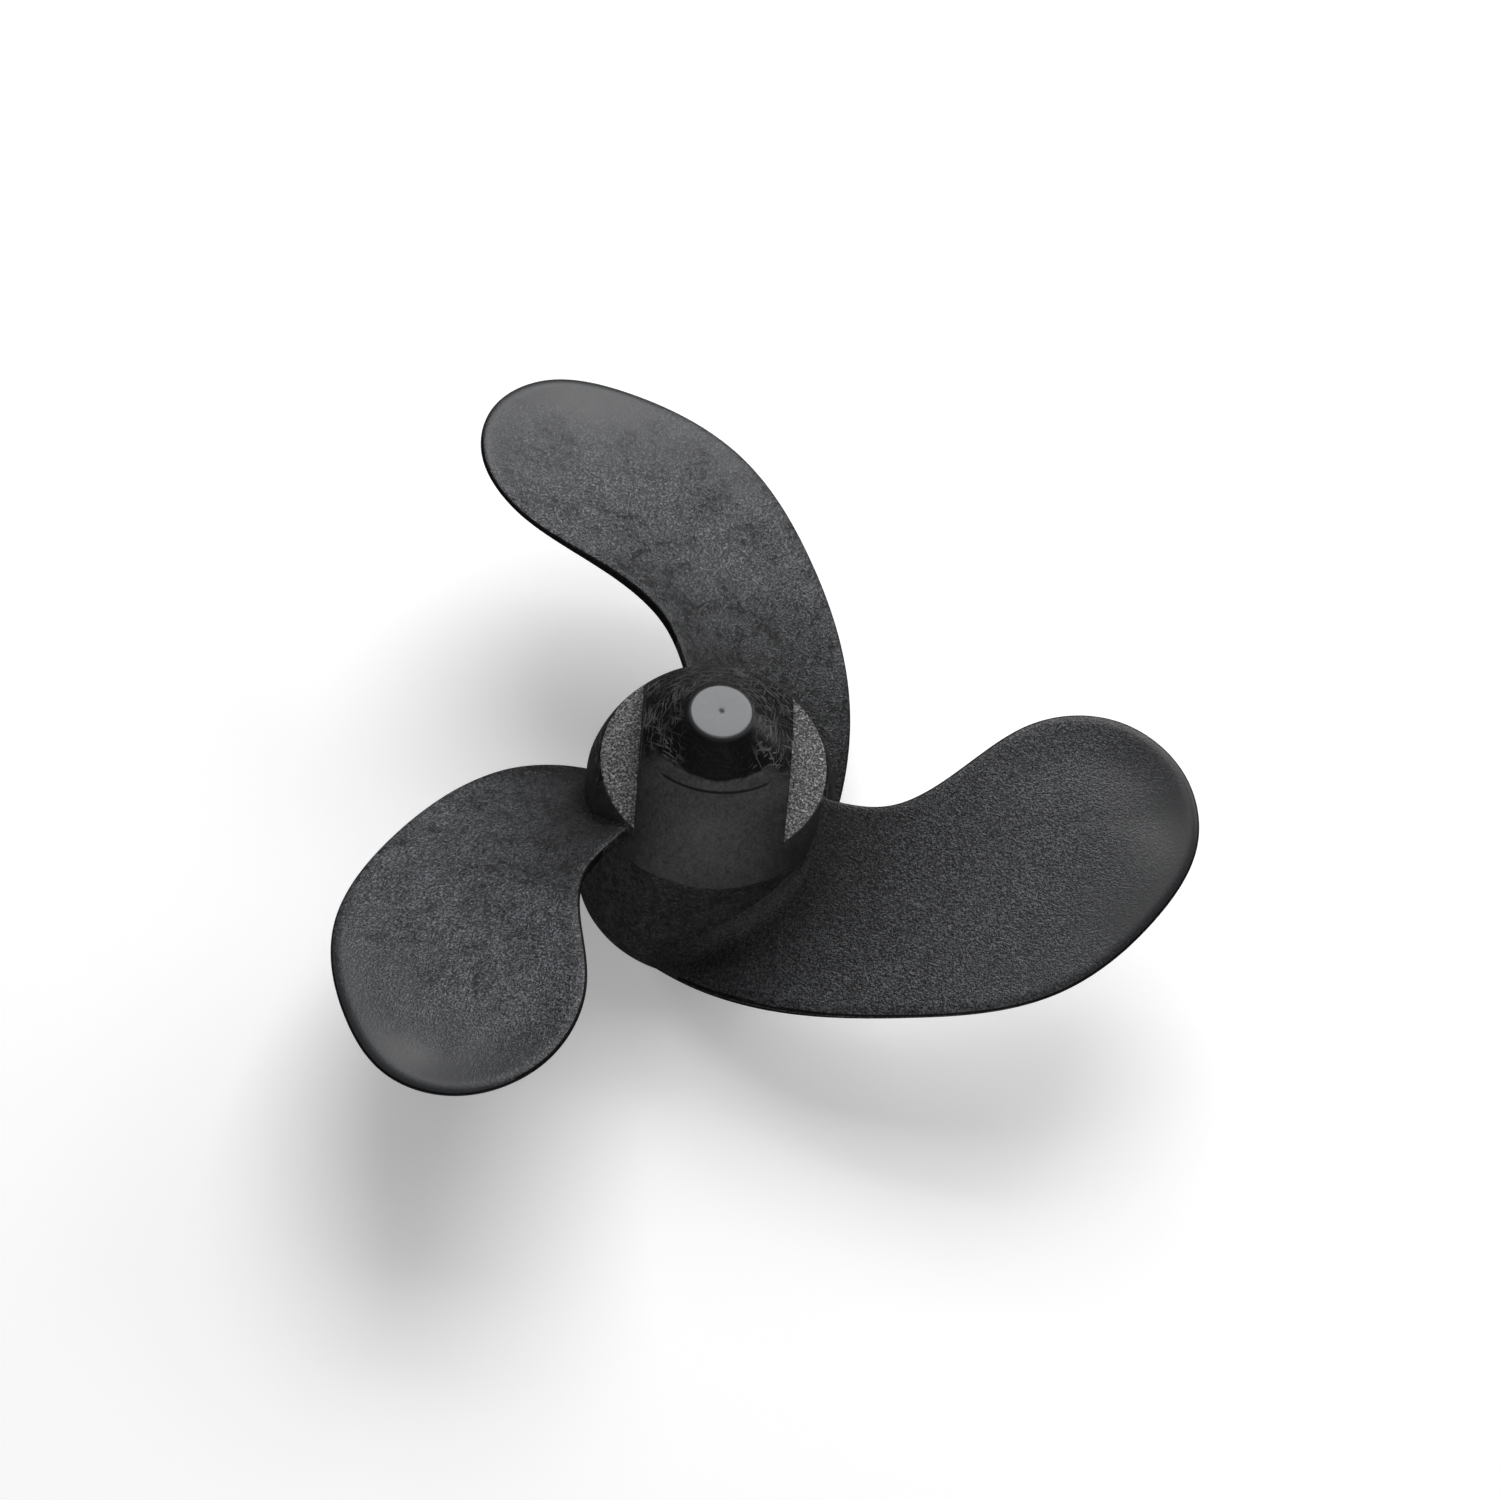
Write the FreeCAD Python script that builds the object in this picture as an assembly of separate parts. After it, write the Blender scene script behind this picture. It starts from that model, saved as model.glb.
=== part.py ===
import FreeCAD, Part
import math
import os
from FreeCAD import Vector

# Small outboard propeller: right-hand, three swept blades, 188 mm across the tips.
#
# Millimetres.  The origin is on the shaft axis, in the plane of the hub's front rim, which
# faces the gearcase.  +Z runs along the shaft from the gearcase to the closed nose.  Seen
# from the nose, the propeller turns clockwise to drive ahead.

# Blades.  HEIGHT_AT_ZERO is the middle surface's height on the hub at angle 0, and the
# blades stop BLADE_LOWEST above the front rim.
TIP_RADIUS = 94.0
PITCH = 134.0
BLADE_COUNT = 3
HEIGHT_AT_ZERO = 43.6
RAKE_SLOPE = 1.6
RAKE_CURVE = 0.9
ROOT_THICKNESS = 4.4
TIP_THICKNESS = 2.2
EDGE_ROUNDING = 0.9
BLADE_LOWEST = 1.2

# Hub, outside
HUB_RADIUS = 23.9
RIM_ROUNDING = 0.8
SHOULDER_RADIUS = 24.1
SHOULDER_HEIGHT = 34.5
DOME_RADIUS = 32.6
DOME_END_RADIUS = 14.0
DOME_END_HEIGHT = 52.2
CONE_RADIUS = 12.7
CONE_HEIGHT = 54.0
NOSE_RADIUS = 6.2
NOSE_HEIGHT = 59.1
SHELF_HEIGHT = 41.5
SLAB_HALF_WIDTH = 14.3

# Hub, inside
SHELL_WALL = 4.0
BOSS_RADIUS = 12.6
RIB_COUNT = 6
RIB_THICKNESS = 2.6
POCKET_DEPTH = 35.0
BORE_RADIUS = 6.0
BORE_DEPTH = 50.0
DRIVE_SLOT_WIDTH = 4.4
DRIVE_SLOT_DEPTH = 7.0
SPLIT_PIN_HOLE_RADIUS = 1.6
SPLIT_PIN_HEIGHT = 46.0

# Bush in the bore
BUSH_WALL = 1.5
BUSH_LENGTH = 40.0
BUSH_CLEARANCE = 0.05

# Plug in the nose
PLUG_HEAD_RADIUS = 5.9
PLUG_HEAD_THICKNESS = 1.6
PLUG_STAND_OUT = 0.4
PLUG_STEM_RADIUS = 3.0
PLUG_DIMPLE_RADIUS = 0.4

# Blade outline seen along the shaft, as radius and angle: from the root of the trailing
# edge, out round the tip, and back along the swept leading edge to its root.  Both ends
# lie inside the hub.
BLADE_OUTLINE = [
    (22.0, -13.5),
    (35.0, -10.0),
    (47.0, 1.0),
    (62.0, 10.0),
    (79.0, 9.0),
    (91.0, 1.5),
    (TIP_RADIUS, -6.0),
    (90.0, -16.0),
    (79.0, -31.0),
    (61.0, -47.0),
    (42.0, -71.0),
    (28.0, -99.0),
    (22.0, -121.0),
]

# Grid that the blade's two faces pass through, a little larger than the blade
SKIN_INNER_RADIUS = 18.0
SKIN_OUTER_RADIUS = 98.0
SKIN_FIRST_ANGLE = -130.0
SKIN_LAST_ANGLE = 30.0
SKIN_STEP = 10.0

ORIGIN = Vector(0, 0, 0)
UP = Vector(0, 0, 1)
ACROSS = Vector(1, 0, 0)


def at(radius, angle, height=0.0):
    """A point given by its radius, its angle in degrees and its height."""
    turn = math.radians(angle)
    return Vector(radius * math.cos(turn), radius * math.sin(turn), height)


def rod(radius, low, high):
    """A cylinder on the shaft axis between two heights."""
    return Part.makeCylinder(radius, high - low, Vector(0, 0, low), UP)


def block(width_x, width_y, low, high, centre_x=0.0):
    """A box between two heights, centred on the X axis where asked."""
    corner = Vector(centre_x - width_x / 2, -width_y / 2, low)
    return Part.makeBox(width_x, width_y, high - low, corner)


def bulging_arc(start, end, radius):
    """An arc in the XZ plane between two points, bulging away from the shaft axis."""
    chord = end - start
    middle = (start + end) * 0.5
    rise = radius - math.sqrt(radius ** 2 - (chord.Length / 2) ** 2)
    outward = Vector(chord.z, 0, -chord.x).normalize()
    return Part.Arc(start, middle + outward * rise, end).toShape()


def hub_envelope():
    """The hub's outside as one turned solid, with no hollows and no side cuts."""
    foot = Vector(0, 0, 0)
    face_edge = Vector(HUB_RADIUS - RIM_ROUNDING, 0, 0)
    wall_foot = Vector(HUB_RADIUS, 0, RIM_ROUNDING)
    shoulder = Vector(SHOULDER_RADIUS, 0, SHOULDER_HEIGHT)
    dome_end = Vector(DOME_END_RADIUS, 0, DOME_END_HEIGHT)
    cone_start = Vector(CONE_RADIUS, 0, CONE_HEIGHT)
    nose_edge = Vector(NOSE_RADIUS, 0, NOSE_HEIGHT)
    crown = Vector(0, 0, NOSE_HEIGHT)
    outline = Part.Wire([
        Part.makeLine(foot, face_edge),
        bulging_arc(face_edge, wall_foot, RIM_ROUNDING),
        Part.makeLine(wall_foot, shoulder),
        bulging_arc(shoulder, dome_end, DOME_RADIUS),
        Part.makeLine(dome_end, cone_start),
        Part.makeLine(cone_start, nose_edge),
        Part.makeLine(nose_edge, crown),
        Part.makeLine(crown, foot),
    ])
    return Part.Face(outline).revolve(ORIGIN, UP, 360)


def side_cuts():
    """The spaces beside the nose that leave two flat shelves and a slab between them."""
    size = SHOULDER_RADIUS
    offset = SLAB_HALF_WIDTH + size / 2
    return [block(size, 2 * size, SHELF_HEIGHT, NOSE_HEIGHT, side * offset) for side in (1, -1)]


def pockets():
    """The blind spaces between the hub's shell, its boss and its ribs."""
    ring = rod(HUB_RADIUS - SHELL_WALL, 0, POCKET_DEPTH).cut(rod(BOSS_RADIUS, 0, POCKET_DEPTH))
    for number in range(RIB_COUNT // 2):
        rib = block(2 * HUB_RADIUS, RIB_THICKNESS, 0, POCKET_DEPTH)
        rib.rotate(ORIGIN, UP, (number + 0.5) * 360.0 / RIB_COUNT)
        ring = ring.cut(rib)
    return ring


def drive_slot():
    """The slot across the boss's front that the drive pin sits in."""
    return block(DRIVE_SLOT_WIDTH, 2 * BOSS_RADIUS, 0, DRIVE_SLOT_DEPTH)


def split_pin_hole():
    """The hole across the nose slab for the split pin."""
    start = Vector(-SLAB_HALF_WIDTH, 0, SPLIT_PIN_HEIGHT)
    return Part.makeCylinder(SPLIT_PIN_HOLE_RADIUS, 2 * SLAB_HALF_WIDTH, start, ACROSS)


def plug_envelope():
    """The plug's head and the stem below it, down to the end of the bore."""
    top = NOSE_HEIGHT + PLUG_STAND_OUT
    head_foot = top - PLUG_HEAD_THICKNESS
    head = rod(PLUG_HEAD_RADIUS, head_foot, top)
    stem = rod(PLUG_STEM_RADIUS, BORE_DEPTH, head_foot)
    return head.fuse(stem).removeSplitter()


def make_hub():
    """The moulded hub: shell, ribs, boss with its bore, dome and cut nose."""
    hub = hub_envelope()
    bush_hole = rod(BORE_RADIUS + BUSH_WALL + BUSH_CLEARANCE, 0, BUSH_LENGTH + BUSH_CLEARANCE)
    shaft_end_hole = rod(BORE_RADIUS, BUSH_LENGTH, BORE_DEPTH)
    hollows = side_cuts() + [pockets(), drive_slot(), split_pin_hole()]
    hollows += [bush_hole, shaft_end_hole, plug_envelope()]
    for hollow in hollows:
        hub = hub.cut(hollow)
    return hub.removeSplitter()


def make_shaft_bush():
    """The metal sleeve that stays with the shaft, notched at the front for the drive pin."""
    sleeve = rod(BORE_RADIUS + BUSH_WALL, 0, BUSH_LENGTH).cut(rod(BORE_RADIUS, 0, BUSH_LENGTH))
    return sleeve.cut(drive_slot())


def make_nose_plug():
    """The plug that closes the nose, with a small dimple in the middle of its face."""
    dimple = Part.makeSphere(PLUG_DIMPLE_RADIUS, Vector(0, 0, NOSE_HEIGHT + PLUG_STAND_OUT))
    return plug_envelope().cut(dimple)


def share_out(radius):
    """How far out a radius is, from 0 at the hub to 1 at the tip."""
    return (radius - HUB_RADIUS) / (TIP_RADIUS - HUB_RADIUS)


def blade_height(radius, angle):
    """Height of the blade's middle surface: a screw of even pitch with a little rake."""
    out = share_out(radius)
    return HEIGHT_AT_ZERO + PITCH * angle / 360.0 + RAKE_SLOPE * out + RAKE_CURVE * out ** 2


def half_thickness_along_shaft(radius):
    """Half the blade's thickness, measured along the shaft instead of square to the face."""
    thickness = ROOT_THICKNESS + (TIP_THICKNESS - ROOT_THICKNESS) * share_out(radius)
    slope = PITCH / (2 * math.pi * radius)
    return thickness / 2 * math.sqrt(1 + slope ** 2)


def evenly(first, last, step):
    """Numbers from first to last, one step apart."""
    return [first + step * number for number in range(round((last - first) / step) + 1)]


def blade_skin(side):
    """One face of the blade plate: above the middle surface for +1, below it for -1."""
    rows = []
    for radius in evenly(SKIN_INNER_RADIUS, SKIN_OUTER_RADIUS, SKIN_STEP):
        lift = side * half_thickness_along_shaft(radius)
        angles = evenly(SKIN_FIRST_ANGLE, SKIN_LAST_ANGLE, SKIN_STEP)
        rows.append([at(radius, angle, blade_height(radius, angle) + lift) for angle in angles])
    surface = Part.BSplineSurface()
    surface.interpolate(rows)
    return surface.toShape()


def blade_plate():
    """A screw-shaped plate with the blade's thickness, wider than the blade all round."""
    top = blade_skin(1)
    bottom = blade_skin(-1)
    sides = [Part.makeRuledSurface(low, high) for low, high in zip(bottom.Edges, top.Edges)]
    shell = Part.Shell([top, bottom] + sides)
    shell.sewShape()
    return Part.Solid(shell)


def blade_prism():
    """The blade's outline carried along the shaft, closed inside the hub."""
    edge = Part.BSplineCurve()
    edge.interpolate([at(radius, angle) for radius, angle in BLADE_OUTLINE])
    first_radius, first_angle = BLADE_OUTLINE[0]
    last_radius, last_angle = BLADE_OUTLINE[-1]
    first = at(first_radius, first_angle)
    last = at(last_radius, last_angle)
    middle = at(first_radius, (first_angle + last_angle) / 2)
    wire = Part.Wire([edge.toShape(), Part.Arc(last, middle, first).toShape()])
    wire.translate(UP * BLADE_LOWEST)
    return Part.Face(wire).extrude(UP * NOSE_HEIGHT)


def make_blade():
    """The blade nearest to +X, with rounded edges, ending on the hub's outside."""
    blade = blade_plate().common(blade_prism()).Solids[0]
    outer_edges = [edge for edge in blade.Edges if edge.Length > 2 * TIP_RADIUS]
    rounded = blade.makeFillet(EDGE_ROUNDING, outer_edges)
    return rounded.cut(hub_envelope()).Solids[0]


def write(shape, node):
    """Report one sub-part and write it as its own STEP file."""
    print(node, "valid", shape.isValid(), "solids", len(shape.Solids), "volume", round(shape.Volume))
    shape.exportStep("parts/" + node + ".step")


os.makedirs("parts", exist_ok=True)
write(make_hub(), "hub")
write(make_shaft_bush(), "shaft_bush")
write(make_nose_plug(), "nose_plug")
first_blade = make_blade()
for number in range(BLADE_COUNT):
    blade = first_blade.copy()
    blade.rotate(ORIGIN, UP, number * 360.0 / BLADE_COUNT)
    write(blade, "blade_%d" % (number + 1))
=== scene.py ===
import bmesh
import bpy
import math
import numpy as np
from mathutils import Matrix, Vector


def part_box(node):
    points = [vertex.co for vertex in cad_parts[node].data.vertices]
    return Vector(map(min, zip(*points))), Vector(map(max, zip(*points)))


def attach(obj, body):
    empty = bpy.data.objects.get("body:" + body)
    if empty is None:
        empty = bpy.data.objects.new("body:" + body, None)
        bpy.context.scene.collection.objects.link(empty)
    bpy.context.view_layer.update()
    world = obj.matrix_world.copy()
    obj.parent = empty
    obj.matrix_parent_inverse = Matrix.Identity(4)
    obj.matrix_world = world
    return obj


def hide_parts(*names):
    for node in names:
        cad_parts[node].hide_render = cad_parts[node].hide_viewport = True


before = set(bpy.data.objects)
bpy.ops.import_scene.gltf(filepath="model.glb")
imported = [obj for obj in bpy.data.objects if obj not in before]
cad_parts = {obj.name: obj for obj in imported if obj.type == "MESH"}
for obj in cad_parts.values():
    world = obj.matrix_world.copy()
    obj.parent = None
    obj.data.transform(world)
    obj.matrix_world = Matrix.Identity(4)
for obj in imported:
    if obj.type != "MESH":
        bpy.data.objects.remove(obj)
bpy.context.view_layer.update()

# The looks of a small outboard propeller.  Everything is worked out in millimetres in the
# part's own frame (+Z along the shaft to the nose) and turned into metres as meshes are made.
MM = 0.001

# -------- sizes from the frame
hub_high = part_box("hub")[1]
plug_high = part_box("nose_plug")[1]
bush_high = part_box("shaft_bush")[1]
SHOULDER_RADIUS = hub_high.x / MM
PLUG_TOP = plug_high.z / MM
PLUG_STANDS_OUT = 0.4
PLUG_HEAD_DEPTH = 1.2
PLUG_STEM_RADIUS = 3.0
PLUG_CLEARANCE = 0.02
NOSE_HEIGHT = PLUG_TOP - PLUG_STANDS_OUT
PLUG_RADIUS = plug_high.x / MM
BUSH_RADIUS = bush_high.x / MM
BUSH_LENGTH = bush_high.z / MM
BUSH_CLEARANCE = 0.05
BUSH_EDGE = 0.3

# -------- hub
WALL_RADIUS = 23.9
RIM_ROUNDING = 0.8
SHOULDER_HEIGHT = 34.5
DOME_RADIUS = 32.6
DOME_END = (14.0, 52.2)
CONE_FOOT = (12.7, 53.6)
NOSE_RADIUS = 6.2
SHELF_HEIGHT = 41.5
SLAB_HALF_WIDTH = 14.3
DOME_FULLNESS = 0.55
GROOVE_RADIUS = 13.75
GROOVE_SPREAD = 2.4
GROOVE_DEPTH = 0.18
GROOVE_HALF_WIDTH = 0.22
# The groove fades out between these shares of facing squarely forwards or backwards
GROOVE_FADE = (0.60, 0.76)
# Beside the groove, one smooth curve with these slopes joins the nose to the dome
JOIN_RADIUS = 16.0
NOSE_EDGE_SLOPE = -0.80
DOME_JOIN_SLOPE = -1.04
PARTING_RIDGE = 0.25
PARTING_RIDGE_HALF_WIDTH = 0.55
# The ridge's course down the wall: heights, and degrees from each blade's middle line
RIDGE_HEIGHTS = (1.5, 28.0, 32.0, 35.0, 38.5)
RIDGE_ANGLES = (7.0, 2.0, 1.0, -1.0, -15.0)
RIDGE_FOOT = (1.0, 18.0)
RIDGE_HEAD = (37.5, 39.5)
SLAB_EDGE_ROUNDING = 0.35
SHELF_CORNER_ROUNDING = 0.3
SHELL_WALL = 4.0
BOSS_RADIUS = 12.6
RIB_COUNT = 6
RIB_THICKNESS = 2.6
POCKET_DEPTH = 35.0
POCKET_CORNER = 0.6
BORE_RADIUS = 6.0
BORE_DEPTH = 50.0
SLOT_WIDTH = 4.4
SLOT_DEPTH = 7.0
PIN_HOLE_RADIUS = 1.6
PIN_HOLE_HEIGHT = 46.0
PIN_HOLE_MOUTH = 2.2
PIN_CUTTER_REACH = 15.5
CUTTERS_START = -1.0

# -------- blades
BLADE_COUNT = 3
PITCH = 134.0
HEIGHT_AT_ZERO = 43.6
RAKE_SLOPE = 1.6
RAKE_CURVE = 0.9
TIP_RADIUS = 94.0
ROOT_THICKNESS = 4.4
TIP_THICKNESS = 2.2
RIM_THICKNESS = 2.1
BLADE_EDGE_ROUNDING = 0.95
FACE_ROUNDING_WIDTH = 1.9
BLADE_LOWEST = 0.3
PARTING_BEAD = 0.16
PARTING_BEAD_HALF_HEIGHT = 0.22
PARTING_BEAD_INSET = 0.02
RIM_EXTRA_AT_ROOT = 1.4
RIM_THINS = (30, 62)
BULGE_WIDTH = 15.0
# Cup: the driving face dips inside the rim from CUP_STARTS to CUP_ENDS (mm along the rim from
# the tip, negative on the trailing side), steeply at first, and comes back further in
CUP_STARTS = (-75, -35)
CUP_ENDS = (-8, 14)
CUP_STEP = 0.22
CUP_STEP_WIDTH = (1.7, 4.5)
CUP_DEPTH = 0.5
CUP_WIDTH = (2.0, 9.0)
CUP_RECOVERY = 0.8
CUP_RECOVERY_WIDTH = (8, 19)
CUP_ON_BACK = 0.5
# The face rolls over more gently where the leading edge runs into the hub
LEADING_ROLL = 2.3
LEADING_ROLL_STARTS = 34
LEADING_ROLL_FULL = 8
# Fillets at the root: driving face by height, and back by height
FACE_FILLET_LEAST = 0.7
FACE_FILLET_MORE = 3.9
FACE_FILLET_GROWS = (0, 14)
FACE_FILLET_SHRINKS = (20, 42)
BACK_FILLET_HEIGHTS = (1, 6, 12, 30, 38)
BACK_FILLETS = (0.2, 1.0, 2.0, 2.0, 0.8)
FILLET_REACH = 0.96
# Rim faces further out than RIM_STARTS that stand across the screw surface get the rim's
# near-black,
# # duller look: painted shade on the blade's edge, partly the rim's real dark colour
RIM_STARTS = 29.0
RIM_SLOPE = 0.74
OUTLINE_SAMPLES = 24001
OUTLINE_STRIDE = 20
# The outline seen along the shaft, as radius and angle, from the root of the trailing edge
# round the tip to the root of the leading edge
BLADE_OUTLINE = [
    (22.0, -13.5), (35.0, -10.0), (47.0, 1.0), (62.0, 10.0), (79.0, 9.0),
    (91.0, 1.5), (94.0, -6.0), (90.0, -16.0),
    (79.0, -31.0), (61.0, -47.0), (42.0, -71.0), (28.0, -99.0), (22.0, -121.0),
]

# Numbers of the hub's materials, in the order in which it gets them
WALL, FLAT, SHELF, TOP = range(4)


# ======== mesh helpers
class Surface:
    """Points and faces collected patch by patch, with a material number for each face."""

    def __init__(self):
        self.points = []
        self.faces = []
        self.kinds = []
        self.count = 0

    def add(self, points):
        """Adds an array of points and returns their numbers in the same arrangement."""
        points = np.asarray(points, float)
        shape = points.shape[:-1]
        flat = points.reshape(-1, 3)
        numbers = np.arange(self.count, self.count + len(flat)).reshape(shape)
        self.points.append(flat)
        self.count += len(flat)
        return numbers

    def grid(self, numbers, kind=0, flip=False):
        """Faces between the neighbours of a two-way arrangement of point numbers."""
        a = numbers[:-1, :-1].ravel()
        b = numbers[1:, :-1].ravel()
        c = numbers[1:, 1:].ravel()
        d = numbers[:-1, 1:].ravel()
        quads = np.stack([a, d, c, b] if flip else [a, b, c, d], 1)
        for quad in quads.tolist():
            face = [n for k, n in enumerate(quad) if n != quad[k - 1]]
            if len(set(face)) > 2:
                self.faces.append(face)
                self.kinds.append(kind)

    def coordinates(self):
        return np.concatenate(self.points)

    def mesh(self, name, coordinates=None, weld=1e-4):
        """A Blender mesh in metres, with points nearer than weld (mm) made one."""
        points = self.coordinates() if coordinates is None else coordinates
        mesh = bpy.data.meshes.new(name)
        mesh.from_pydata((points * MM).tolist(), [], self.faces)
        mesh.polygons.foreach_set("material_index", self.kinds)
        shape = bmesh.new()
        shape.from_mesh(mesh)
        bmesh.ops.remove_doubles(shape, verts=shape.verts, dist=weld * MM)
        bmesh.ops.dissolve_degenerate(shape, edges=shape.edges, dist=weld * MM / 4)
        bmesh.ops.recalc_face_normals(shape, faces=shape.faces)
        shape.to_mesh(mesh)
        shape.free()
        return mesh


def finished(shape, name):
    """The mesh of a bmesh that isn't needed any more."""
    mesh = bpy.data.meshes.new(name)
    shape.to_mesh(mesh)
    shape.free()
    return mesh


def new_object(name, mesh):
    piece = bpy.data.objects.new(name, mesh)
    bpy.context.scene.collection.objects.link(piece)
    return piece


def smooth_by_angle(piece, degrees):
    """Smooth shading, with edges sharper than an angle kept crisp."""
    mesh = piece.data
    mesh.polygons.foreach_set("use_smooth", [True] * len(mesh.polygons))
    mesh.set_sharp_from_angle(angle=math.radians(degrees))
    mesh.update()


def natural_spline(points, samples):
    """A smooth curve through points, spaced by chord length, free at both ends."""
    points = np.asarray(points, float)
    count = len(points)
    knots = np.r_[0, np.cumsum(np.linalg.norm(np.diff(points, axis=0), axis=1))]
    step = np.diff(knots)
    system = np.eye(count)
    target = np.zeros_like(points)
    for k in range(1, count - 1):
        system[k, k - 1:k + 2] = step[k - 1], 2 * (step[k - 1] + step[k]), step[k]
        rise = (points[k + 1] - points[k]) / step[k] - (points[k] - points[k - 1]) / step[k - 1]
        target[k] = 6 * rise
    bend = np.linalg.solve(system, target)
    at = np.linspace(0, knots[-1], samples)
    k = np.clip(np.searchsorted(knots, at, side="right") - 1, 0, count - 2)
    h = step[k][:, None]
    before = (knots[k + 1] - at)[:, None]
    after = (at - knots[k])[:, None]
    curve = (bend[k] * before ** 3 + bend[k + 1] * after ** 3) / (6 * h)
    curve += (points[k] / h - bend[k] * h / 6) * before
    curve += (points[k + 1] / h - bend[k + 1] * h / 6) * after
    return curve


def smoothstep(low, high, value):
    t = np.clip((value - low) / (high - low), 0, 1)
    return t * t * (3 - 2 * t)


def vertex_normals(points, faces):
    """Area-weighted normals of the points of a mesh given as arrays."""
    normals = np.zeros_like(points)
    for size in (3, 4):
        group = np.array([f for f in faces if len(f) == size], int).reshape(-1, size)
        across = points[group[:, 2]] - points[group[:, 0]]
        other = points[group[:, -1]] - points[group[:, 1]]
        turn = np.cross(across, other)
        for k in range(size):
            np.add.at(normals, group[:, k], turn)
    length = np.linalg.norm(normals, axis=1)[:, None]
    return normals / np.maximum(length, 1e-12)


# ======== hub outside
def dome_centre():
    """Centre of the arc from the shoulder to the dome's end, bulging away from the axis."""
    start = np.array((SHOULDER_RADIUS, SHOULDER_HEIGHT))
    chord = DOME_END - start
    length = np.linalg.norm(chord)
    outward = np.array((chord[1], -chord[0])) / length
    return start + chord / 2 - outward * math.sqrt(DOME_RADIUS ** 2 - length ** 2 / 4)


DOME_CENTRE = dome_centre()


def hub_radius(height):
    """Radius of the hub's outside at a height, up to the groove round the cone's foot."""
    height = np.asarray(height, float)
    wall = WALL_RADIUS + (SHOULDER_RADIUS - WALL_RADIUS) * height / SHOULDER_HEIGHT
    inside = np.maximum(DOME_RADIUS ** 2 - (height - DOME_CENTRE[1]) ** 2, 0)
    dome = DOME_CENTRE[0] + np.sqrt(inside)
    return np.where(height < SHOULDER_HEIGHT, wall, np.minimum(dome, wall))


def dome_height(radius):
    """Height of the dome at a radius, a little fuller between the shelf and the groove."""
    arc = DOME_CENTRE[1] + np.sqrt(DOME_RADIUS ** 2 - (radius - DOME_CENTRE[0]) ** 2)
    rim = hub_radius(SHELF_HEIGHT)
    share = np.clip((rim - radius) / (rim - DOME_END[0]), 0, 1)
    return arc + DOME_FULLNESS * np.sin(np.pi * share) ** 2


def nose_height(radius, angle):
    """Height of the hub's top.  In front and behind, a fine groove and a low step part the
    dome from the cone; towards the two flats they fade into one smooth curve."""
    facing = np.abs(np.sin(angle))
    groove = GROOVE_RADIUS + GROOVE_SPREAD * (1 - facing)
    strength = smoothstep(*GROOVE_FADE, facing)
    step = groove - (GROOVE_RADIUS - CONE_FOOT[0])
    foot = dome_height(groove)
    top = foot + CONE_FOOT[1] - dome_height(GROOVE_RADIUS)
    riser = foot + (top - foot) * (groove - radius) / (groove - step)
    cone = NOSE_HEIGHT + (top - NOSE_HEIGHT) * (radius - NOSE_RADIUS) / (step - NOSE_RADIUS)
    blend = smoothstep(step - 0.8, step + 0.3, radius)
    stepped = np.where(radius > groove, dome_height(radius), cone + (riser - cone) * blend)
    carved = np.clip(1 - np.abs(radius - groove) / GROOVE_HALF_WIDTH, 0, 1)
    stepped = stepped - GROOVE_DEPTH * carved
    across = JOIN_RADIUS - NOSE_RADIUS
    t = np.clip((radius - NOSE_RADIUS) / across, 0, 1)
    smooth = (2 * t ** 3 - 3 * t ** 2 + 1) * NOSE_HEIGHT
    smooth += (t ** 3 - 2 * t ** 2 + t) * NOSE_EDGE_SLOPE * across
    smooth += (3 * t ** 2 - 2 * t ** 3) * dome_height(JOIN_RADIUS)
    smooth += (t ** 3 - t ** 2) * DOME_JOIN_SLOPE * across
    smooth = np.where(radius > JOIN_RADIUS, dome_height(radius), smooth)
    return smooth + (stepped - smooth) * strength


def parting_ridge(angle, height):
    """Height of the raised parting line on the wall.  It runs down from each blade's trailing
    edge to the next blade's leading edge."""
    middle = np.radians(np.interp(height, RIDGE_HEIGHTS, RIDGE_ANGLES))
    every = 2 * np.pi / BLADE_COUNT
    off = (angle - middle + every / 2) % every - every / 2
    shape = np.exp(-(off * WALL_RADIUS / PARTING_RIDGE_HALF_WIDTH) ** 2)
    fade = smoothstep(*RIDGE_FOOT, height) * (1 - smoothstep(*RIDGE_HEAD, height))
    return PARTING_RIDGE * shape * fade


def points_at(x, y, z):
    """Points from coordinates that are arrays or single numbers."""
    return np.stack(np.broadcast_arrays(x, y, z), -1)


def ring(radius, angles, height):
    """Points round the shaft's axis at the given angles."""
    return points_at(radius * np.cos(angles), radius * np.sin(angles), height)


def clustered(count, tight):
    """Numbers from 0 to 1, closer together towards both ends."""
    t = np.linspace(0, 1, count + 1)
    return (1 - tight) * t + tight * (1 - np.cos(np.pi * t)) / 2


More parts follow.
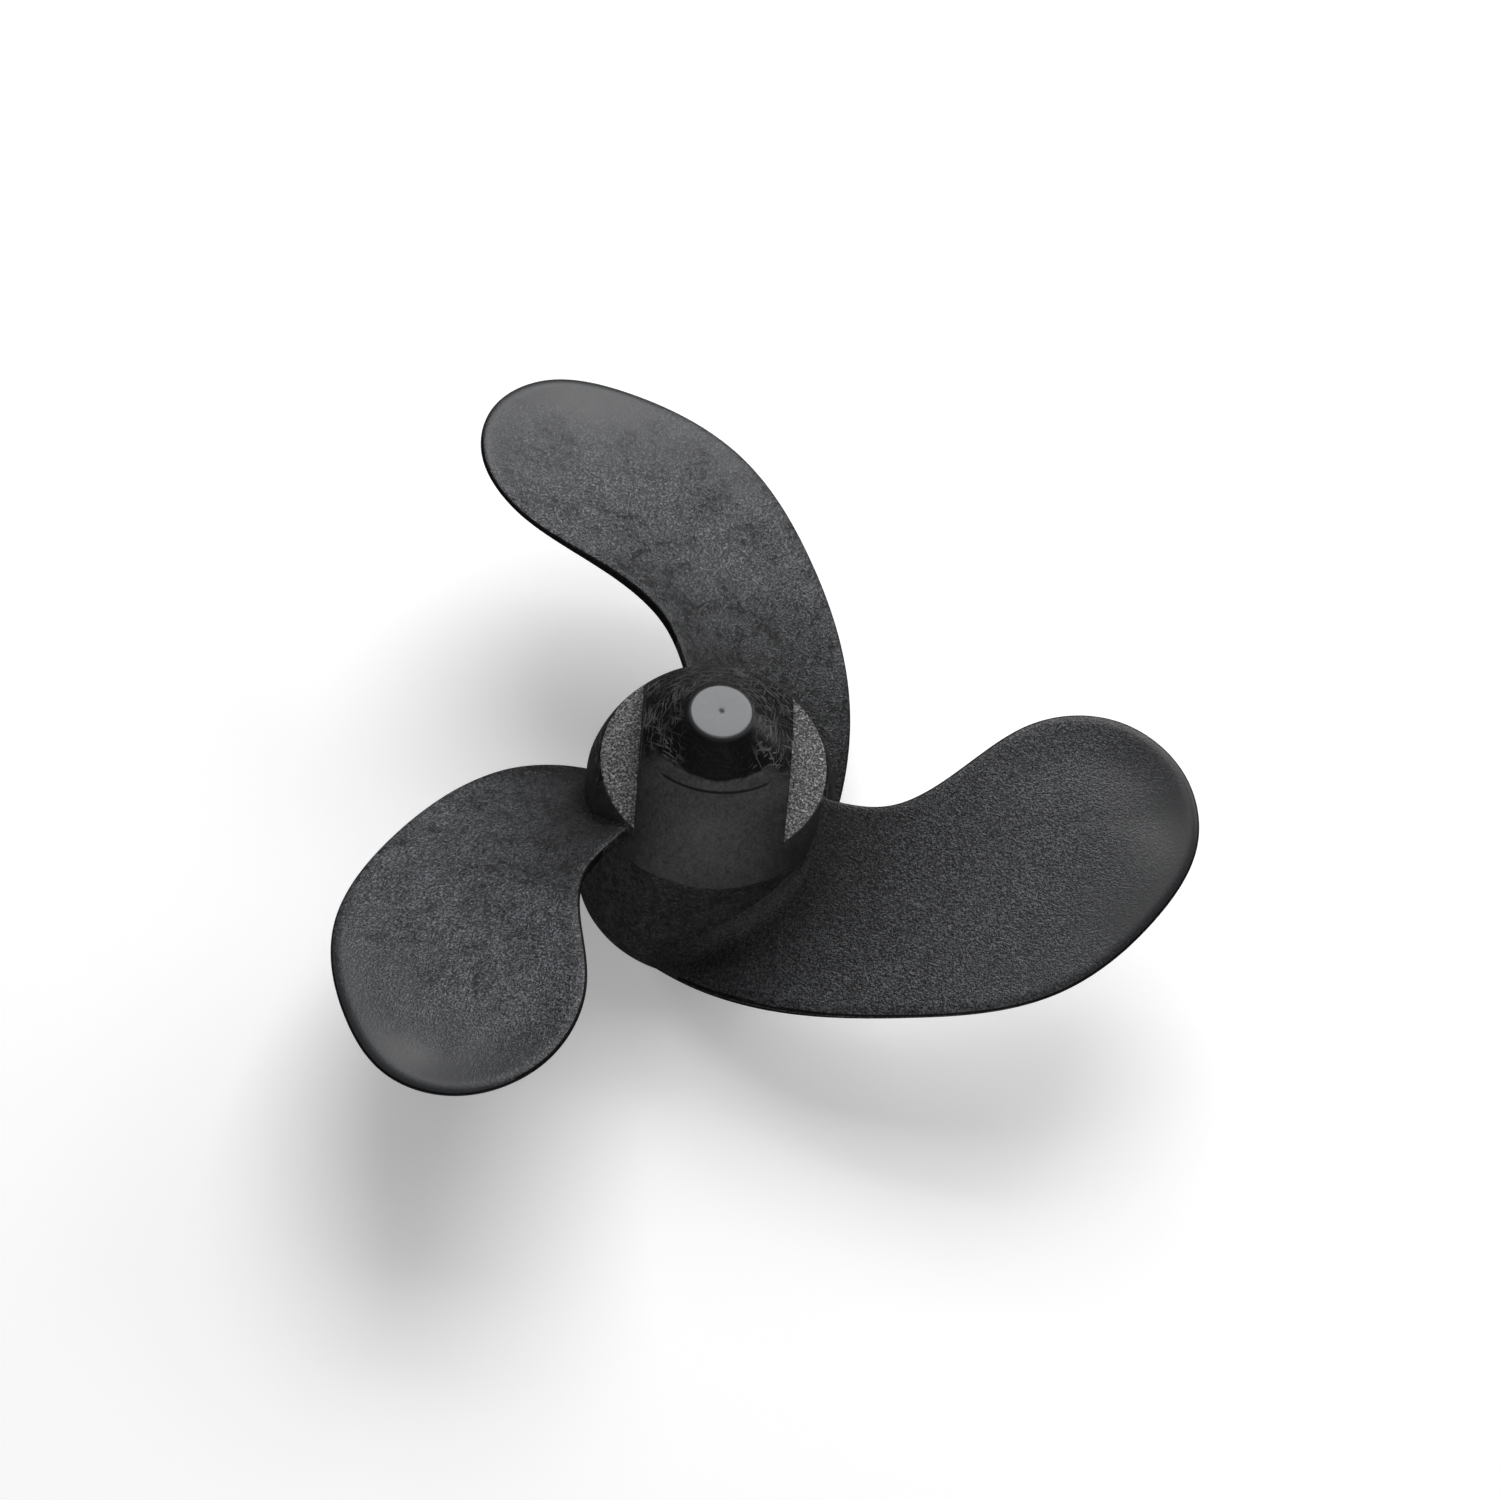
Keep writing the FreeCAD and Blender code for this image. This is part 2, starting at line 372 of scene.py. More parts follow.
def round_slab_edges(points):
    """Moves points of the sharp hub onto the same shape with rounded edges and corners."""
    passes = 12
    probe = 1e-4
    depth = 1.2
    inner_radius = 14.25

    def soft_max(a, b, r):
        rounded = np.hypot(np.maximum(a + r, 0), np.maximum(b + r, 0)) - r
        near_both = (a > -r) & (b > -r)
        sharp = np.maximum(a, b)
        return np.where(near_both, np.maximum(sharp, rounded), sharp)

    def field(p):
        radius = np.hypot(p[:, 0], p[:, 1])
        angle = np.arctan2(p[:, 1], p[:, 0])
        height = nose_height(radius, angle)
        slope = (nose_height(radius + 0.01, angle) - height) / 0.01
        dome = (p[:, 2] - height) / np.sqrt(1 + slope ** 2)
        flat = np.abs(p[:, 0]) - SLAB_HALF_WIDTH
        shelf = p[:, 2] - SHELF_HEIGHT
        cut = -soft_max(-flat, -shelf, SHELF_CORNER_ROUNDING)
        return soft_max(dome, cut, SLAB_EDGE_ROUNDING)

    out = points.copy()
    outside = np.hypot(points[:, 0], points[:, 1]) > inner_radius
    moving = outside & (points[:, 2] > SHELF_HEIGHT - depth)
    p = points[moving]
    for _ in range(passes):
        value = field(p)
        slope = np.zeros_like(p)
        for axis in range(3):
            shift = np.zeros(3)
            shift[axis] = probe
            slope[:, axis] = (field(p + shift) - field(p - shift)) / (2 * probe)
        p = p - 0.8 * (value / np.maximum((slope ** 2).sum(1), 0.2))[:, None] * slope
    out[moving] = p
    return out


def hub_outside():
    """The hub's closed outside, made of patches that share their border points."""
    surface = Surface()
    rim = hub_radius(SHELF_HEIGHT)
    half_chord = math.sqrt(rim ** 2 - SLAB_HALF_WIDTH ** 2)
    level_count = 96
    arc_count = 96
    # Levels of y along the slab's edge, from +half_chord to -half_chord
    y_levels = half_chord * (1 - 2 * clustered(level_count, 0.75))
    corner = math.acos(SLAB_HALF_WIDTH / rim)
    spread = clustered(arc_count, 0.8)
    back = corner + (math.pi - 2 * corner) * spread
    left = math.pi - np.arcsin(y_levels / rim)
    front = back + math.pi
    right = 2 * math.pi + np.arcsin(-y_levels / rim)
    around = np.concatenate([back[:-1], left[:-1], front[:-1], right[:-1]])
    around = np.append(around, around[0] + 2 * math.pi)

    # Front rim, wall and lower dome: whole circles
    turn = np.radians(np.linspace(0, 90, 7))
    rows = [(0.0, 0.0), (8.0, 0.0), (16.0, 0.0)]
    for t in turn:
        radius = WALL_RADIUS - RIM_ROUNDING * (1 - math.sin(t))
        rows.append((radius, RIM_ROUNDING * (1 - math.cos(t))))
    heights = list(np.linspace(2.0, SHOULDER_HEIGHT - 0.9, 34))
    heights += [SHOULDER_HEIGHT + step for step in (-0.35, 0, 0.35)]
    heights += list(np.linspace(SHOULDER_HEIGHT + 0.9, SHELF_HEIGHT - 1.0, 9))
    heights += [SHELF_HEIGHT - step for step in (0.6, 0.35, 0.2, 0.1, 0)]
    rows += [(float(hub_radius(h)), h) for h in heights]
    rows = np.array(rows)
    ridged = rows[:, :1] + parting_ridge(around[None], rows[:, 1:])
    numbers = surface.add(ring(ridged, around, rows[:, 1:]))
    shoulder = int(np.argmin(np.abs(rows[:, 1] - SHOULDER_HEIGHT)))
    surface.grid(numbers[:shoulder + 1], kind=WALL)
    surface.grid(numbers[shoulder:], kind=TOP)

    # Upper dome between the two flats, in front and behind
    radii = np.hypot(SLAB_HALF_WIDTH, y_levels[:level_count // 2 + 1])
    for sign in (1, -1):
        rows = []
        for radius in radii:
            edge = math.acos(min(1, SLAB_HALF_WIDTH / radius))
            angles = edge + (math.pi - 2 * edge) * spread
            if sign < 0:
                angles = angles + math.pi
            rows.append(ring(radius, angles, nose_height(radius, angles)))
        surface.grid(surface.add(rows), kind=TOP)

    # Flats of the slab and the shelves beside them
    up = clustered(24, 0.8)
    top = nose_height(np.hypot(SLAB_HALF_WIDTH, y_levels), np.arctan2(y_levels, SLAB_HALF_WIDTH))
    heights = SHELF_HEIGHT + (top - SHELF_HEIGHT) * up[:, None]
    arc = np.sqrt(np.maximum(rim ** 2 - y_levels ** 2, SLAB_HALF_WIDTH ** 2))
    reach = SLAB_HALF_WIDTH + (arc - SLAB_HALF_WIDTH) * up[:, None]
    for side in (1, -1):
        flat = points_at(side * SLAB_HALF_WIDTH, y_levels, heights)
        surface.grid(surface.add(flat), kind=FLAT)
        shelf = points_at(side * reach, y_levels, SHELF_HEIGHT)
        surface.grid(surface.add(shelf), kind=SHELF)

    # Cap inside the slab's width: groove, riser, cone, nose edge and the plug's seat
    circle = np.concatenate([math.pi * spread[:-1], math.pi + math.pi * spread])
    seat = PLUG_RADIUS + PLUG_CLEARANCE
    depth = NOSE_HEIGHT - PLUG_HEAD_DEPTH
    radii = np.concatenate([np.linspace(SLAB_HALF_WIDTH, 12.0, 34), np.linspace(11.8, 6.5, 24)])
    rows = [ring(r, circle, nose_height(r, circle)) for r in radii]
    profile = [
        (NOSE_RADIUS + 0.3, NOSE_HEIGHT - 0.26),
        (NOSE_RADIUS + 0.1, NOSE_HEIGHT - 0.12),
        (NOSE_RADIUS - 0.04, NOSE_HEIGHT - 0.03),
        (NOSE_RADIUS - 0.14, NOSE_HEIGHT),
        (seat + 0.05, NOSE_HEIGHT),
        (seat + 0.01, NOSE_HEIGHT - 0.03),
        (seat, NOSE_HEIGHT - 0.1),
        (seat, depth),
        (seat * 0.5, depth),
        (0.0, depth),
    ]
    rows += [ring(r, circle, z) for r, z in profile]
    surface.grid(surface.add(rows), kind=TOP)
    return surface


# ======== hub inside, as cutters
def lathe(name, profile, segments=128):
    """A turned solid from (radius, height) points, which end on the axis or where they began."""
    surface = Surface()
    turn = np.linspace(0, 2 * np.pi, segments + 1)
    surface.grid(surface.add([ring(r, turn, z) for r, z in profile]))
    return surface.mesh(name)


def prism(name, outline, sections):
    """A solid from a closed outline, shrunk towards its middle by an amount at each height."""
    surface = Surface()
    outline = np.asarray(outline, float)
    ahead = np.roll(outline, -1, 0) - outline
    behind = outline - np.roll(outline, 1, 0)
    along = ahead / np.linalg.norm(ahead, axis=1)[:, None]
    along = along + behind / np.linalg.norm(behind, axis=1)[:, None]
    along /= np.linalg.norm(along, axis=1)[:, None]
    inward = np.stack([-along[:, 1], along[:, 0]], -1)
    levels = []
    for shrink, height in sections:
        flat = outline + inward * shrink
        level = np.column_stack([flat, np.full(len(flat), height)])
        levels.append(np.vstack([level, level[:1]]))
    numbers = surface.add(levels)
    surface.grid(numbers)
    for end in (numbers[0, :-1][::-1], numbers[-1, :-1]):
        surface.faces.append(end.tolist())
        surface.kinds.append(0)
    return surface.mesh(name)


def rounded_outline(corners, radius, steps=6):
    """A closed outline through corners, each but the bluntest replaced by an arc."""
    bluntest = math.radians(80)
    corners = [np.array(c, float) for c in corners]
    points = []
    for k, corner in enumerate(corners):
        before = corners[k - 1] - corner
        after = corners[(k + 1) % len(corners)] - corner
        before /= np.linalg.norm(before)
        after /= np.linalg.norm(after)
        half = math.acos(np.clip(before @ after, -1, 1)) / 2
        if half > bluntest:
            points.append(corner)
            continue
        reach = radius / math.tan(half)
        between = (before + after) / np.linalg.norm(before + after)
        middle = corner + between * radius / math.sin(half)
        start = corner + before * reach - middle
        end = corner + after * reach - middle
        for t in np.linspace(0, 1, steps + 1):
            ray = start * (1 - t) + end * t
            points.append(middle + ray / np.linalg.norm(ray) * radius)
    return np.array(points)


def pocket_outline(number):
    """One pocket between two ribs, the shell and the boss, seen from the front rim."""
    outer = WALL_RADIUS - SHELL_WALL
    half = RIB_THICKNESS / 2
    middle = number * 2 * math.pi / RIB_COUNT
    reach = math.pi / RIB_COUNT
    corners = []
    outer_edge = reach - math.asin(half / outer)
    inner_edge = reach - math.asin(half / BOSS_RADIUS)
    for radius, edge, count in ((outer, outer_edge, 15), (BOSS_RADIUS, -inner_edge, 11)):
        corners.extend(ring(radius, middle + np.linspace(-edge, edge, count), 0)[:, :2])
    return rounded_outline(corners, POCKET_CORNER)


def cut(piece, mesh):
    """Takes a solid out of a piece."""
    cutter = new_object("cutter", mesh)
    change = piece.modifiers.new("cut", "BOOLEAN")
    change.operation = "DIFFERENCE"
    change.solver = "EXACT"
    change.object = cutter
    view = bpy.context.evaluated_depsgraph_get()
    result = bpy.data.meshes.new_from_object(piece.evaluated_get(view))
    piece.modifiers.remove(change)
    piece.data = result
    bpy.data.objects.remove(cutter)


def join_meshes(name, meshes):
    shape = bmesh.new()
    for mesh in meshes:
        shape.from_mesh(mesh)
    return finished(shape, name)


def slot_cutter():
    """The drive-pin slot, open at the front rim."""
    half = SLOT_WIDTH / 2
    low = (-half, -BOSS_RADIUS, CUTTERS_START)
    high = (half, BOSS_RADIUS, SLOT_DEPTH)
    shape = bmesh.new()
    bmesh.ops.create_cube(shape, size=1.0)
    for vert in shape.verts:
        vert.co = Vector([(a + (b - a) * (c + 0.5)) * MM for a, b, c in zip(low, high, vert.co)])
    return finished(shape, "slot")


def make_hub():
    surface = hub_outside()
    points = round_slab_edges(surface.coordinates())
    hub = new_object("hub_moulding", surface.mesh("hub_moulding", points, weld=0.004))
    # Pockets: shrink of the outline and height; the mouth is flared and the end is rounded
    sections = [
        (-0.35, CUTTERS_START),
        (-0.35, 0.0),
        (0.0, 0.35),
        (0.25, POCKET_DEPTH - 1.0),
        (0.5, POCKET_DEPTH - 0.4),
        (0.95, POCKET_DEPTH),
    ]
    pockets = [prism("pocket", pocket_outline(number), sections) for number in range(RIB_COUNT)]
    cut(hub, join_meshes("pockets", pockets))
    seat = BUSH_RADIUS + BUSH_CLEARANCE
    seat_end = BUSH_LENGTH + BUSH_CLEARANCE
    bore = [
        (0, CUTTERS_START),
        (seat + 0.4, CUTTERS_START),
        (seat + 0.4, 0.0),
        (seat, 0.4),
        (seat, seat_end),
        (BORE_RADIUS, seat_end),
        (BORE_RADIUS, BORE_DEPTH - 0.5),
        (BORE_RADIUS - 0.5, BORE_DEPTH),
        (0, BORE_DEPTH),
    ]
    cut(hub, lathe("bore", bore))
    cut(hub, slot_cutter())
    half = [
        (PIN_HOLE_RADIUS, SLAB_HALF_WIDTH - 0.5),
        (PIN_HOLE_MOUTH, SLAB_HALF_WIDTH),
        (PIN_HOLE_MOUTH, PIN_CUTTER_REACH),
        (0, PIN_CUTTER_REACH),
    ]
    other_half = [(radius, -reach) for radius, reach in half[::-1]]
    hole = lathe("pin_hole", other_half + half, segments=48)
    upright = Matrix.Translation((0, 0, PIN_HOLE_HEIGHT * MM))
    hole.transform(upright @ Matrix.Rotation(math.pi / 2, 4, "Y"))
    cut(hub, hole)
    smooth_by_angle(hub, 34)
    return hub


# ======== blades
def blade_height(radius, angle):
    out = (radius - WALL_RADIUS) / (TIP_RADIUS - WALL_RADIUS)
    return HEIGHT_AT_ZERO + PITCH * angle / 360 + RAKE_SLOPE * out + RAKE_CURVE * out ** 2


def along_shaft(radius):
    """How much longer a thickness is along the shaft than square to the blade's face."""
    return np.sqrt(1 + (PITCH / (2 * np.pi * radius)) ** 2)


def full_thickness(radius):
    out = (radius - WALL_RADIUS) / (TIP_RADIUS - WALL_RADIUS)
    return ROOT_THICKNESS + (TIP_THICKNESS - ROOT_THICKNESS) * out


class Outline:
    """A blade's outline as a fine curve, with places measured along it from the tip, negative
    on the trailing side."""

    def __init__(self):
        radii, degrees = np.transpose(BLADE_OUTLINE)
        self.points = natural_spline(ring(radii, np.radians(degrees), 0)[:, :2], OUTLINE_SAMPLES)
        self.run = np.gradient(self.points, axis=0)
        self.run /= np.linalg.norm(self.run, axis=1)[:, None]
        self.radius = np.hypot(self.points[:, 0], self.points[:, 1])
        self.tip = int(np.argmax(self.radius))
        length = np.r_[0, np.cumsum(np.linalg.norm(np.diff(self.points, axis=0), axis=1))]
        self.place = length - length[self.tip]

    def stations(self, rows):
        """Points of the outline on both sides at rows + 1 radii, which get closer towards the
        tip, with the ways inward and the places."""
        share = np.linspace(0, 1, rows + 1) ** 1.3
        span = self.radius[self.tip] - self.radius[0]
        radii = self.radius[0] + span * np.sin(np.pi / 2 * share)
        numbers = np.arange(len(self.points))
        trailing = np.interp(radii, self.radius[:self.tip + 1], numbers[:self.tip + 1])
        leading = np.interp(radii, self.radius[self.tip:][::-1], numbers[self.tip:][::-1])
        index = np.concatenate([trailing, leading[::-1][1:]])
        edge = np.stack([np.interp(index, numbers, self.points[:, k]) for k in (0, 1)], -1)
        run = np.stack([np.interp(index, numbers, self.run[:, k]) for k in (0, 1)], -1)
        run /= np.linalg.norm(run, axis=1)[:, None]
        inward = np.stack([run[:, 1], -run[:, 0]], -1)
        return edge, inward, np.interp(index, numbers, self.place)

    def nearest(self, points):
        """Distance to the outline, and the place there."""
        coarse = self.points[::OUTLINE_STRIDE]
        places = self.place[::OUTLINE_STRIDE]
        batch = 2000
        distance = np.empty(len(points))
        place = np.empty(len(points))
        for start in range(0, len(points), batch):
            part = slice(start, start + batch)
            gap = np.linalg.norm(points[part, None] - coarse, axis=2)
            distance[part] = gap.min(1)
            place[part] = places[gap.argmin(1)]
        return distance, place


def rounding(distance, width, depth):
    """How far a rounded edge falls at a distance from it."""
    corner = np.clip(1 - distance / width, 0, None)
    return depth * (1 - np.sqrt(np.maximum(1 - corner ** 2, 0)))


def face_and_back(points, distance, place, to_root):
    """Heights of the driving face and of the back at points inside the outline."""
    r = np.hypot(points[:, 0], points[:, 1])
    a = np.degrees(np.arctan2(points[:, 1], points[:, 0]))
    scale = along_shaft(r)
    top = blade_height(r, a) + full_thickness(r) / 2 * scale
    strength = smoothstep(*CUP_STARTS, place) * (1 - smoothstep(*CUP_ENDS, place))
    dip = CUP_STEP * smoothstep(*CUP_STEP_WIDTH, distance)
    dip = dip + CUP_DEPTH * smoothstep(*CUP_WIDTH, distance)
    dip = strength * dip * (1 - CUP_RECOVERY * smoothstep(*CUP_RECOVERY_WIDTH, distance))
    bulge = smoothstep(0.0, BULGE_WIDTH, distance)
    rim_thick = RIM_THICKNESS + (1 - smoothstep(*RIM_THINS, r)) * RIM_EXTRA_AT_ROOT
    thick = rim_thick + (np.maximum(full_thickness(r), rim_thick) - rim_thick) * bulge
    back = top - thick * scale - CUP_ON_BACK * dip
    roll = LEADING_ROLL * (1 - smoothstep(LEADING_ROLL_FULL, LEADING_ROLL_STARTS, to_root))
    face = top - dip - rounding(distance, FACE_ROUNDING_WIDTH + roll, BLADE_EDGE_ROUNDING + roll)
    return face, back + rounding(distance, BLADE_EDGE_ROUNDING, BLADE_EDGE_ROUNDING)


def flare_root(surface):
    """Fillets where a blade meets the hub: points near it move along the blade's own normal."""
    points = surface.coordinates()
    normals = vertex_normals(points, surface.faces)
    r = np.hypot(points[:, 0], points[:, 1])
    height = points[:, 2]
    outward = points_at(points[:, 0] / r, points[:, 1] / r, 0.0)
    normals -= (normals * outward).sum(1)[:, None] * outward
    normals /= np.maximum(np.linalg.norm(normals, axis=1), 1e-9)[:, None]
    gap = np.clip(r - hub_radius(height), 0, None)
    more = smoothstep(*FACE_FILLET_GROWS, height) * (1 - smoothstep(*FACE_FILLET_SHRINKS, height))
    face_size = FACE_FILLET_LEAST + FACE_FILLET_MORE * more
    back_size = np.interp(height, BACK_FILLET_HEIGHTS, BACK_FILLETS)
    size = np.where(normals[:, 2] > 0, face_size, back_size)
    near = np.clip(FILLET_REACH * size - gap, 0, None)
    flare = size - np.sqrt(np.maximum(size ** 2 - near ** 2, 0))
    points = points + normals * flare[:, None]
    points[:, 2] = np.maximum(points[:, 2], BLADE_LOWEST)
    # What is sunk in the hub's wall stays below the shelves
    r = np.hypot(points[:, 0], points[:, 1])
    sunk = r < hub_radius(np.minimum(points[:, 2], SHELF_HEIGHT)) - 0.05
    points[:, 2] = np.where(sunk, np.minimum(points[:, 2], SHELF_HEIGHT - 0.5), points[:, 2])
    surface.points = [points]


def blade_surface():
    """One blade near +X: two faces, a rounded rim with a parting bead, and flared roots."""
    rows = 132
    half_columns = 26
    outline = Outline()
    edge, inward, places = outline.stations(rows)
    root_place = outline.place[-1]
    surface = Surface()
    # Rim: rows of points going from the face, over the edge, to the back
    turn = np.linspace(0, np.pi / 2, 6)
    offsets = [9.0, 6.8, 5.0, 3.6, 2.6, 1.9, 1.4] + list(BLADE_EDGE_ROUNDING * (1 - np.sin(turn)))
    rim_rows = []
    for offset in offsets:
        points = edge + inward * (offset + PARTING_BEAD)
        rim_rows.append((points, *face_and_back(points, offset, places, root_place - places)))
    outer_points, outer_face, outer_back = rim_rows[-1]
    middle = (outer_face + outer_back) / 2
    half = np.minimum(PARTING_BEAD_HALF_HEIGHT, 0.45 * (outer_face - outer_back))
    crest = edge + inward * PARTING_BEAD_INSET
    strip = [(p, f) for p, f, b in rim_rows]
    strip.append((outer_points, middle + half))
    strip.append((crest, middle + half * 0.35))
    strip.append((crest, middle - half * 0.35))
    strip.append((outer_points, middle - half))
    strip += [(p, b) for p, f, b in rim_rows[::-1]]
    rim = surface.add(np.stack([np.column_stack(pair) for pair in strip], 1))
    surface.grid(rim, kind=0)

    # The two faces inside the rim's inner rows, blended from their four borders
    count = rows - half_columns
    x, y = rim_rows[0][0].T
    border = np.column_stack([np.hypot(x, y), np.unwrap(np.arctan2(y, x))])
    last = len(border) - 1
    columns = 2 * half_columns
    u = np.linspace(0, 1, columns + 1)[None, :, None]
    v = (np.arange(count + 1) / count)[:, None, None]
    left_side = border[:count + 1][:, None]
    right_side = border[last - np.arange(count + 1)][:, None]
    far_side = border[count:count + columns + 1][None]
    near_side = border[0][None, None] * (1 - u) + border[last][None, None] * u
    corners = (1 - u) * (1 - v) * border[0] + u * (1 - v) * border[last]
    corners = corners + (1 - u) * v * border[count] + u * v * border[count + columns]
    plan = (1 - u) * left_side + u * right_side + (1 - v) * near_side + v * far_side - corners
    inner = ring(plan[:-1, 1:-1, 0], plan[:-1, 1:-1, 1], 0)[..., :2].reshape(-1, 2)
    distance, place = outline.nearest(inner)
    face, back = face_and_back(inner, distance, place, root_place - place)
    roots = []
    for heights, column in ((face, 0), (back, rim.shape[1] - 1)):
        numbers = np.zeros((count + 1, columns + 1), int)
        numbers[:, 0] = rim[:count + 1, column]
        numbers[:, -1] = rim[last - np.arange(count + 1), column]
        numbers[-1, :] = rim[count:count + columns + 1, column]
        middle_numbers = surface.add(np.column_stack([inner, heights]))
        numbers[:-1, 1:-1] = middle_numbers.reshape(count, columns - 1)
        surface.grid(numbers, kind=0, flip=(column == 0))
        roots.append(numbers[0])

    # Root: closed inside the hub's shell
    half_way = len(rim[0]) // 2
    start_up = rim[0, :half_way][::-1]
    start_down = rim[0, half_way:2 * half_way]
    end_up = rim[last, :half_way]
    end_down = rim[last, half_way:2 * half_way][::-1]
    upper = np.concatenate([start_up[:-1], roots[0], end_up[1:]])
    lower = np.concatenate([start_down[:-1], roots[1], end_down[1:]])
    surface.grid(np.stack([upper, lower]))

    flare_root(surface)
    return surface


def mark_rim(mesh):
    """Give the narrow rim faces, which stand across the screw surface, the second material: a
    near-black, duller look that is painted shade on the edge, partly the rim's real dark colour.
    """
    climb = PITCH / (2 * math.pi)
    for polygon in mesh.polygons:
        x, y = polygon.center.xy / MM
        r = math.hypot(x, y)
        screw = Vector((climb * y / r ** 2, -climb * x / r ** 2, 1)).normalized()
        if r > RIM_STARTS and abs(polygon.normal.dot(screw)) < RIM_SLOPE:
            polygon.material_index = 1


def make_blades():
    surface = blade_surface()
    mesh = surface.mesh("blade", weld=0.0005)
    mark_rim(mesh)
    pieces = []
    for number in range(BLADE_COUNT):
        copy = mesh.copy()
        copy.transform(Matrix.Rotation(number * 2 * math.pi / BLADE_COUNT, 4, "Z"))
        piece = new_object("blade_%d_moulding" % (number + 1), copy)
        smooth_by_angle(piece, 60)
        pieces.append(piece)
    return pieces


# ======== plug and bush
def make_plug():
    foot = NOSE_HEIGHT - PLUG_HEAD_DEPTH
    profile = [
        (0, BORE_DEPTH),
        (PLUG_STEM_RADIUS - 0.1, BORE_DEPTH),
        (PLUG_STEM_RADIUS, BORE_DEPTH + 0.1),
        (PLUG_STEM_RADIUS, foot),
        (PLUG_RADIUS - 0.1, foot),
        (PLUG_RADIUS, foot + 0.1),
    ]
    # Radius and depth of the rounded edge, the face and the dimple in its middle
    roundings = ((0, 0.22), (0.07, 0.1), (0.2, 0.03), (0.4, 0.02))
    edge = [(PLUG_RADIUS - inset, drop) for inset, drop in roundings]
    face = [(3.0, 0.015), (1.0, 0.015)]
    dimple = [(0.55, 0.03), (0.38, 0.12), (0.2, 0.3), (0, 0.36)]
    profile += [(radius, PLUG_TOP - drop) for radius, drop in edge + face + dimple]
    plug = new_object("plug", lathe("plug", profile, segments=160))
    smooth_by_angle(plug, 35)
    return plug


def make_bush():
    profile = [
        (BORE_RADIUS, BUSH_EDGE),
        (BORE_RADIUS + BUSH_EDGE, 0),
        (BUSH_RADIUS - BUSH_EDGE, 0),
        (BUSH_RADIUS, BUSH_EDGE),
    ]
    profile += [(radius, BUSH_LENGTH - height) for radius, height in profile[::-1]]
    bush = new_object("bush", lathe("bush", profile + profile[:1]))
    cut(bush, slot_cutter())
    smooth_by_angle(bush, 35)
    return bush


# ======== materials
def node_material(name, roughness, specular=0.5):
    material = bpy.data.materials.new(name)
    material.use_nodes = True
    nodes = material.node_tree.nodes
    nodes.clear()
    output = nodes.new("ShaderNodeOutputMaterial")
    shader = nodes.new("ShaderNodeBsdfPrincipled")
    shader.inputs["Roughness"].default_value = roughness
    shader.inputs["Specular IOR Level"].default_value = specular
    material.node_tree.links.new(shader.outputs[0], output.inputs[0])
    return material, shader


class Maker:
    """Short ways to add and join shader nodes in one material."""

    def __init__(self, material):
        self.nodes = material.node_tree.nodes
        self.links = material.node_tree.links

    def link(self, value, socket):
        if isinstance(value, bpy.types.NodeSocket):
            self.links.new(value, socket)
        else:
            socket.default_value = value

    def place(self):
        return self.nodes.new("ShaderNodeTexCoord").outputs["Object"]

    def noise(self, vector, scale, detail=2.0, rough=0.5, distortion=0.0):
        node = self.nodes.new("ShaderNodeTexNoise")
        self.link(vector, node.inputs["Vector"])
        node.inputs["Scale"].default_value = scale
        node.inputs["Detail"].default_value = detail
        node.inputs["Roughness"].default_value = rough
        node.inputs["Distortion"].default_value = distortion
        return node.outputs["Fac"]

    def math(self, operation, *values):
        node = self.nodes.new("ShaderNodeMath")
        node.operation = operation
        for value, socket in zip(values, node.inputs):
            self.link(value, socket)
        return node.outputs[0]

    def chain(self, operation, values):
        result = values[0]
        for value in values[1:]:
            result = self.math(operation, result, value)
        return result

    def times(self, *values):
        return self.chain("MULTIPLY", values)

    def plus(self, *values):
        return self.chain("ADD", values)

    def most(self, *values):
        return self.chain("MAXIMUM", values)

    def minus(self, first, second):
        return self.math("SUBTRACT", first, second)

    def span(self, value, low, high, to_low, to_high):
        node = self.nodes.new("ShaderNodeMapRange")
        node.interpolation_type = "SMOOTHSTEP"
        for socket, item in zip(node.inputs, (value, low, high, to_low, to_high)):
            self.link(item, socket)
        return node.outputs[0]

    def mix(self, factor, first, second):
        node = self.nodes.new("ShaderNodeMix")
        node.data_type = "RGBA"
        self.link(factor, node.inputs["Factor"])
        self.link(first, node.inputs[6])
        self.link(second, node.inputs[7])
        return node.outputs[2]

    def stretch(self, vector, factors):
        node = self.nodes.new("ShaderNodeVectorMath")
        node.operation = "MULTIPLY"
        self.link(vector, node.inputs[0])
        node.inputs[1].default_value = factors
        return node.outputs[0]

    def streaks(self, vector, degrees, factors, distortion):
        """Noise drawn out into lines: turned about the shaft, tipped a little and stretched."""
        node = self.nodes.new("ShaderNodeMapping")
        tilt = (math.radians(20), math.radians(10), math.radians(degrees))
        node.inputs["Rotation"].default_value = tilt
        self.link(vector, node.inputs["Vector"])
        return self.noise(self.stretch(node.outputs[0], factors), 1.0, 1.0, 0.5, distortion)

    def bump(self, height, distance, normal=None):
        node = self.nodes.new("ShaderNodeBump")
        node.inputs["Distance"].default_value = distance
        self.link(height, node.inputs["Height"])
        if normal is not None:
            self.link(normal, node.inputs["Normal"])
        return node.outputs[0]


def shaft_distance(make, place):
    """Distance from the shaft's axis, in metres, as a node value."""
    node = make.nodes.new("ShaderNodeVectorMath")
    node.operation = "LENGTH"
    make.link(make.stretch(place, (1, 1, 0)), node.inputs[0])
    return node.outputs["Value"]


